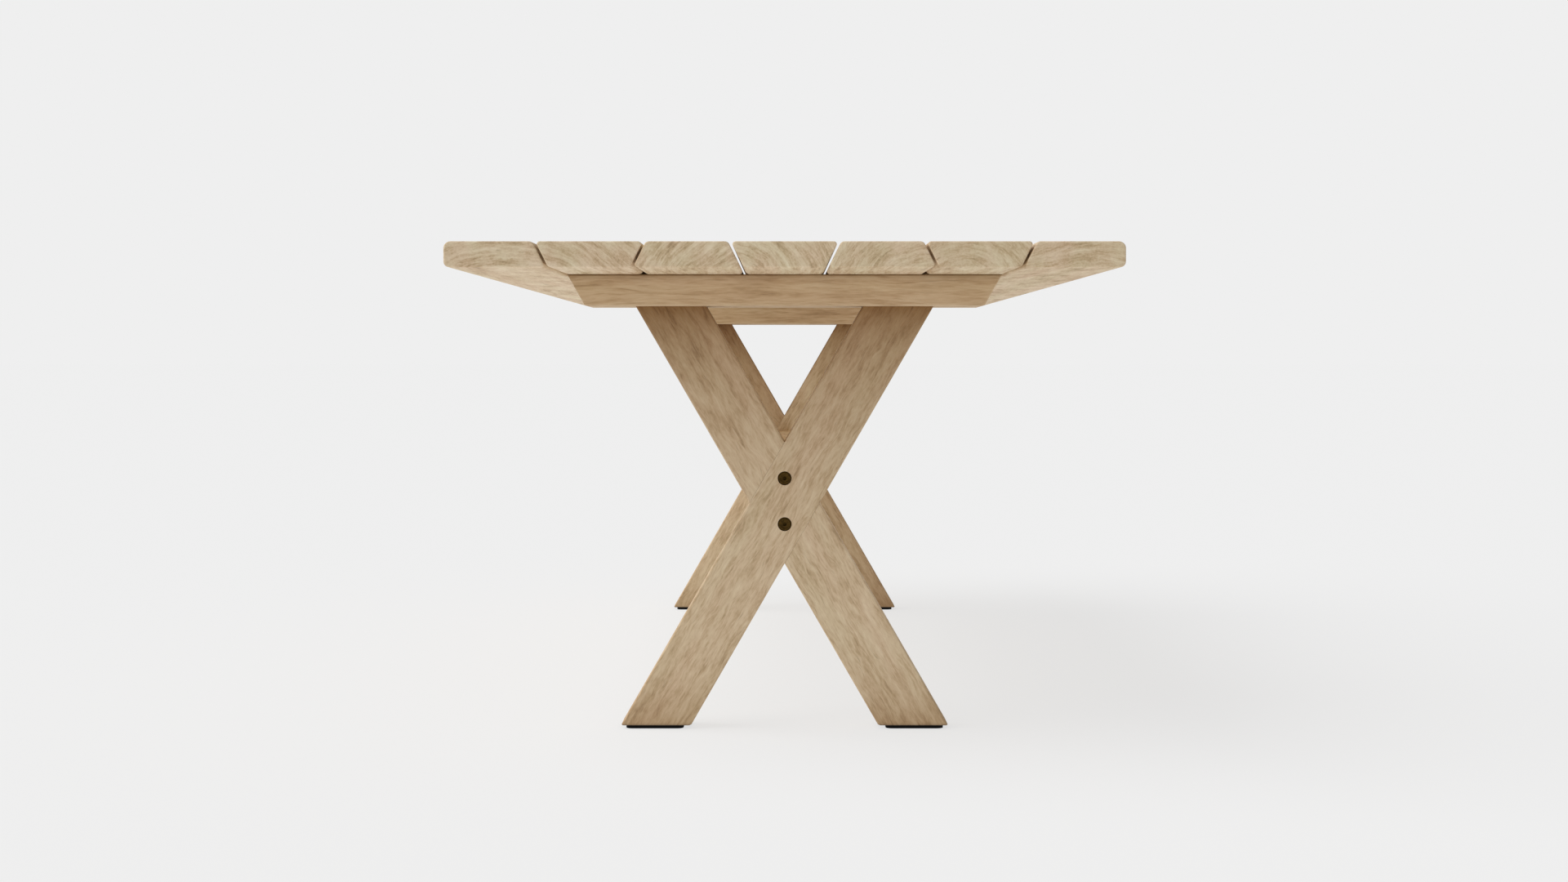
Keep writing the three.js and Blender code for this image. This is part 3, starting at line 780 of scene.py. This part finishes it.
class LegShape:
    """A tilted leg's form, read from its CAD box: x runs with height, and rise is 1 or -1."""

    def __init__(self, end, side):
        self.name = f"{end}_leg_rising_{side}"
        self.low, self.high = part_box(self.name)
        self.is_front = end == "front"
        self.rise = (1 if side == "right" else -1) * (1 if self.is_front else -1)
        height = self.high.z - self.low.z
        self.run = (self.high.x - self.low.x - height * math.tan(LEG_TILT)) / 2
        lean = (self.high.x + self.low.x) / 2 / math.tan(LEG_TILT)
        self.crossing = (self.low.z + self.high.z) / 2 - self.rise * lean
        self.reach = self.run / math.tan(LEG_TILT)  # from the crossing's middle to its upper notch

    def x(self, z, rise=None):
        """X of the leg's middle at height z, or of a leg through the same crossing."""
        return (rise or self.rise) * (z - self.crossing) * math.tan(LEG_TILT)

    def lap_outline(self):
        """The other leg's parallelogram, a little wider."""
        wide = self.run + LAP_CLEARANCE
        low, high = 0, self.high.z + OVERSHOOT
        x_low, x_high = self.x(low, -self.rise), self.x(high, -self.rise)
        return [
            Vector((x_low - wide, low)),
            Vector((x_low + wide, low)),
            Vector((x_high + wide, high)),
            Vector((x_high - wide, high)),
        ]

    def edge_radius(self, side, z):
        """The long edges are rounded, but square where the other leg lies beside them."""
        above = (z - self.crossing) * -side * self.rise
        return SQUARE_EDGE if -SQUARE_MARGIN < above < self.reach + SQUARE_MARGIN else LEG_EASING

    def ring(self, z, shrink=0.0):
        """The leg's level section at height z."""
        half_run = self.run * math.cos(LEG_TILT) - shrink
        half_depth = (self.high.y - self.low.y) / 2 - shrink
        left, right = self.edge_radius(-1, z), self.edge_radius(1, z)
        section = rounded(
            [
                (-half_run, -half_depth, left),
                (half_run, -half_depth, right),
                (half_run, half_depth, right),
                (-half_run, half_depth, left),
            ]
        )
        middle = (self.low.y + self.high.y) / 2
        return [Vector((self.x(z) + p.x / math.cos(LEG_TILT), middle + p.y, z)) for p in section]

    def timber(self):
        """The whole leg before its lap is cut, as level rings from the foot to the top."""
        foot = PAD_THICKNESS + PAD_CLEARANCE
        heights = [foot + FOOT_CHAMFER, self.high.z]
        for offset in (-self.reach, 0, self.reach):
            notch = self.crossing + offset
            heights += [notch + SQUARE_MARGIN * share for share in EDGE_CHANGES]
        rings = [self.ring(foot, FOOT_CHAMFER)] + [self.ring(z) for z in sorted(heights)]
        return loft(f"{self.name}_wood", rings)


def leg(end, side):
    """A leg with its half of the lap cut out.

    The leg that rises to the frame's right, seen from outside, keeps its outer half.
    """
    shape = LegShape(end, side)
    low, high = shape.low, shape.high
    middle = (low.y + high.y) / 2
    gives_front = shape.is_front != (side == "right")
    lap_low = low.y - OVERSHOOT if gives_front else middle - LAP_CLEARANCE / 2
    lap_high = middle + LAP_CLEARANCE / 2 if gives_front else high.y + OVERSHOOT
    cuts = [prism("tool", shape.lap_outline(), lap_low, lap_high)]
    for level in LEVELS:
        cuts += crossing_bolt_bores(end, level, low.y, high.y)
    cuts += leg_bolt_bores(end, side)
    pad = f"{end}_foot_pad_{'left' if side == 'right' else 'right'}"
    for start, depth in spigots(pad, low.z):
        cuts.append(drill(SPIGOT_RADIUS + BORE_CLEARANCE, depth, start, UP))
    obj = combine(shape.timber(), cuts)
    direction = (shape.rise * math.sin(LEG_TILT), 0, math.cos(LEG_TILT))
    across = (math.cos(LEG_TILT), 0, -shape.rise * math.sin(LEG_TILT))
    seed, browning = LEG_WOODS[end, side]
    lay_grain(obj, shape.name, direction, across, LEG_PITH, seed, LEG_SHORTNESS, browning)
    settle(obj, shape.name, FRAME_WOOD)


def box_outline(u_low, u_high, v_low, v_high, radius):
    corners = [(u_low, v_low), (u_high, v_low), (u_high, v_high), (u_low, v_high)]
    return rounded([(u, v, radius) for u, v in corners])


def stretcher():
    name = "stretcher"
    low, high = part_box(name)
    outline = box_outline(low.x, high.x, low.z, high.z, STRETCHER_EASING)
    obj = prism(f"{name}_wood", outline, low.y, high.y)
    for end in ENDS:
        for level in LEVELS:
            bolt = f"{end}_crossing_bolt_{level}"
            combine(obj, [bore(bolt, 1, CROSSING_BOLT_SHANK_RADIUS + BORE_CLEARANCE)])
            combine(obj, [nut_bore(f"{end}_stretcher_nut_{level}", 0, True)])
    pith = STRETCHER_PITH
    lay_grain(obj, name, ALONG_TABLE, ACROSS_TABLE, pith, STRETCHER_SEED, BAR_SHORTNESS)
    settle(obj, name, FRAME_WOOD)


def foot_pad(end, side):
    name = f"{end}_foot_pad_{side}"
    low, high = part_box(name)
    outline = box_outline(low.x, high.x, low.y, high.y, PAD_CORNER_RADIUS)
    sizes = low.z, PAD_THICKNESS, PAD_EASING
    obj = prism(f"{name}_rubber", outline, *sizes, along_z, PAD_EASING_STEPS)
    for start, length in spigots(name, PAD_THICKNESS / 2):
        profile = [
            (SPIGOT_RADIUS, 0),
            (SPIGOT_RADIUS, length - FASTENER_CHAMFER),
            (SPIGOT_RADIUS - FASTENER_CHAMFER, length),
        ]
        combine(obj, [turned("tool", profile, start, UP)], "UNION")
    settle(obj, name, RUBBER)


def hexagon_socket(sizes, start, direction):
    mouth, floor_radius, depth = sizes
    profile = [(mouth, -OVERSHOOT), (floor_radius, depth)]
    return turned("tool", profile, start, direction, 6)


def threaded(radius, thread, low, high):
    """The profile of a screw thread between two distances, as rings."""
    depth, pitch = thread
    points = []
    for i in range(int((high - low) / pitch)):
        points += [(radius - depth, low + i * pitch), (radius, low + (i + 0.5) * pitch)]
    return points


def crossing_bolt(end, level):
    """A domed bronze bolt that points into the frame from outside."""
    name = f"{end}_crossing_bolt_{level}"
    low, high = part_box(name)
    head, shank, length = radius_of(name), CROSSING_BOLT_SHANK_RADIUS, high.y - low.y
    start = centre_of(name)
    start.y = low.y if end == "front" else high.y
    inward = ALONG_TABLE if end == "front" else -ALONG_TABLE
    profile = [(head - inside * MM, below * MM) for inside, below in CROSSING_BOLT_FACE]
    profile += [
        (head, CROSSING_BOLT_HEAD_HEIGHT),
        (shank, CROSSING_BOLT_HEAD_HEIGHT),
        (shank, length - CROSSING_BOLT_END_CHAMFER),
        (shank - CROSSING_BOLT_END_CHAMFER, length),
    ]
    obj = turned(f"{name}_metal", profile, start, inward, BOLT_HEAD_SIDES)
    combine(obj, [hexagon_socket(CROSSING_BOLT_SOCKET, start, inward)])
    settle(obj, name, BRONZE)


def wood_screw(name):
    """A countersunk screw that points up, with a socket in its head."""
    low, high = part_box(name)
    head, shank, length = radius_of(name), SCREW_SHANK_RADIUS, high.z - low.z
    start = centre_of(name)
    start.z = low.z
    thread_start, tip_start = length * SCREW_THREAD_START, length - SCREW_TIP
    profile = [
        (head - SCREW_HEAD_EASING, 0),
        (head, SCREW_HEAD_EASING),
        (head, SCREW_HEAD_RIM),
        (shank, SCREW_HEAD_HEIGHT),
        (shank, thread_start),
        *threaded(shank, SCREW_THREAD, thread_start, tip_start),
        (shank * SCREW_TIP_TAPER[0], tip_start),
        (shank * SCREW_TIP_TAPER[1], length),
    ]
    obj = turned(f"{name}_metal", profile, start, UP, SCREW_SIDES)
    combine(obj, [hexagon_socket(SCREW_SOCKET, start, UP)])
    settle(obj, name, STEEL)


def leg_bolt(end, side):
    """A flat-headed bolt that points down, with a hexagon socket in its head."""
    name = f"{end}_leg_bolt_{side}"
    low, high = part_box(name)
    head, shank, length = radius_of(name), LEG_BOLT_SHANK_RADIUS, high.z - low.z
    start = centre_of(name)
    start.z = high.z
    thread_end = length - FASTENER_CHAMFER
    profile = [
        (head - FASTENER_CHAMFER, 0),
        (head, FASTENER_CHAMFER),
        (head, LEG_BOLT_HEAD_HEIGHT),
        (shank, LEG_BOLT_HEAD_HEIGHT),
        *threaded(shank, LEG_BOLT_THREAD, length - LEG_BOLT_THREAD_LENGTH, thread_end),
        (shank - FASTENER_CHAMFER, length),
    ]
    obj = turned(f"{name}_metal", profile, start, DOWN)
    combine(obj, [hexagon_socket(LEG_BOLT_SOCKET, start, DOWN)])
    settle(obj, name, STEEL)


def bar(name, axis):
    """A round bar along one axis, its ends chamfered."""
    low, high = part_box(name)
    radius, length = radius_of(name), high[axis] - low[axis]
    start = centre_of(name)
    start[axis] = low[axis]
    profile = [
        (radius - FASTENER_CHAMFER, 0),
        (radius, FASTENER_CHAMFER),
        (radius, length - FASTENER_CHAMFER),
        (radius - FASTENER_CHAMFER, length),
    ]
    return turned(f"{name}_metal", profile, start, unit(axis))


def edge_pin(name):
    settle(bar(name, 0), name, STEEL)


def cross_dowel(name, axis, bolt_axis, bolt_radius):
    """A barrel nut: a short bar with a tapped hole across its middle."""
    hole = bore(name, bolt_axis, bolt_radius + TAPPED_CLEARANCE, OVERSHOOT, OVERSHOOT)
    settle(combine(bar(name, axis), [hole]), name, STEEL)


for number in range(1, PLANK_COUNT + 1):
    plank(number)
    wood_screw(f"batten_screw_{number}")
for end in ENDS:
    beam(end)
    for number in range(2, PLANK_COUNT):
        wood_screw(f"{end}_plank_screw_{number}")
    for side in SIDES:
        leg(end, side)
        leg_bolt(end, side)
        cross_dowel(f"{end}_leg_nut_{side}", 1, 2, LEG_BOLT_SHANK_RADIUS)
        foot_pad(end, side)
    for level in LEVELS:
        crossing_bolt(end, level)
        cross_dowel(f"{end}_stretcher_nut_{level}", 0, 1, CROSSING_BOLT_SHANK_RADIUS)
for side in ("left", "right"):
    for number in range(1, PIN_COUNT + 1):
        edge_pin(f"{side}_edge_pin_{number}")
batten()
stretcher()

# ---- Stage ------------------------------------------------------------------------------------

CAMERA_PLACE = (-0.001, -4.104, 0.5708)
CAMERA_PITCH = math.radians(2.147)
CAMERA_LENS = 48.806
CAMERA_SENSOR = 36
VIEW_REACH = 2000
FLOOR_REACH = 400
FLOOR_GLOW = 0.68
FLOOR_ALBEDO = 0.2
BACKGROUND = 0.863
AMBIENT = 0.35
BACKGROUND_EDGE = (0.7, 0.88)  # the direction's Y where light fades from ambient to background
KEY_STRENGTH = 2.2
KEY_SIZE = math.radians(60)
KEY_DIRECTION = Vector((-0.75, -0.1, 0.85))


def camera():
    data = bpy.data.cameras.new("camera")
    data.lens = CAMERA_LENS
    data.sensor_width = CAMERA_SENSOR
    data.clip_end = VIEW_REACH
    obj = bpy.data.objects.new("camera", data)
    obj.location = CAMERA_PLACE
    obj.rotation_euler = (math.pi / 2 - CAMERA_PITCH, 0, 0)
    bpy.context.scene.collection.objects.link(obj)
    bpy.context.scene.camera = obj


def floor():
    r = FLOOR_REACH
    obj = new_object("floor", [(-r, -r, 0), (r, -r, 0), (r, r, 0), (-r, r, 0)], [(0, 1, 2, 3)])
    n = Nodes(bpy.data.materials.new("floor"))
    n.feed(n.shader.inputs["Emission Color"], (1, 1, 1, 1))
    n.feed(n.shader.inputs["Emission Strength"], FLOOR_GLOW)
    grey = (FLOOR_ALBEDO, FLOOR_ALBEDO, FLOOR_ALBEDO, 1)
    obj.data.materials.append(n.finish(grey, 1.0, specular=0.0))


def sky():
    """A backdrop that looks bright all round, but lights the table fully only from behind."""
    n = Nodes(bpy.data.worlds.new("studio"), "Background")
    along = n.axis(n.node("ShaderNodeTexCoord").outputs["Generated"], 1)
    light = n.between(along, *BACKGROUND_EDGE, AMBIENT, BACKGROUND)
    seen = n.math("MULTIPLY", n.node("ShaderNodeLightPath").outputs["Is Camera Ray"], BACKGROUND)
    n.feed(n.shader.inputs["Color"], n.math("MAXIMUM", light, seen))
    bpy.context.scene.world = n.owner


def key_light():
    light = bpy.data.lights.new("key", "SUN")
    light.energy = KEY_STRENGTH
    light.angle = KEY_SIZE
    obj = bpy.data.objects.new("key", light)
    obj.rotation_euler = KEY_DIRECTION.to_track_quat("Z", "Y").to_euler()
    bpy.context.scene.collection.objects.link(obj)


camera()
floor()
sky()
key_light()
bpy.context.scene.view_settings.view_transform = "Standard"
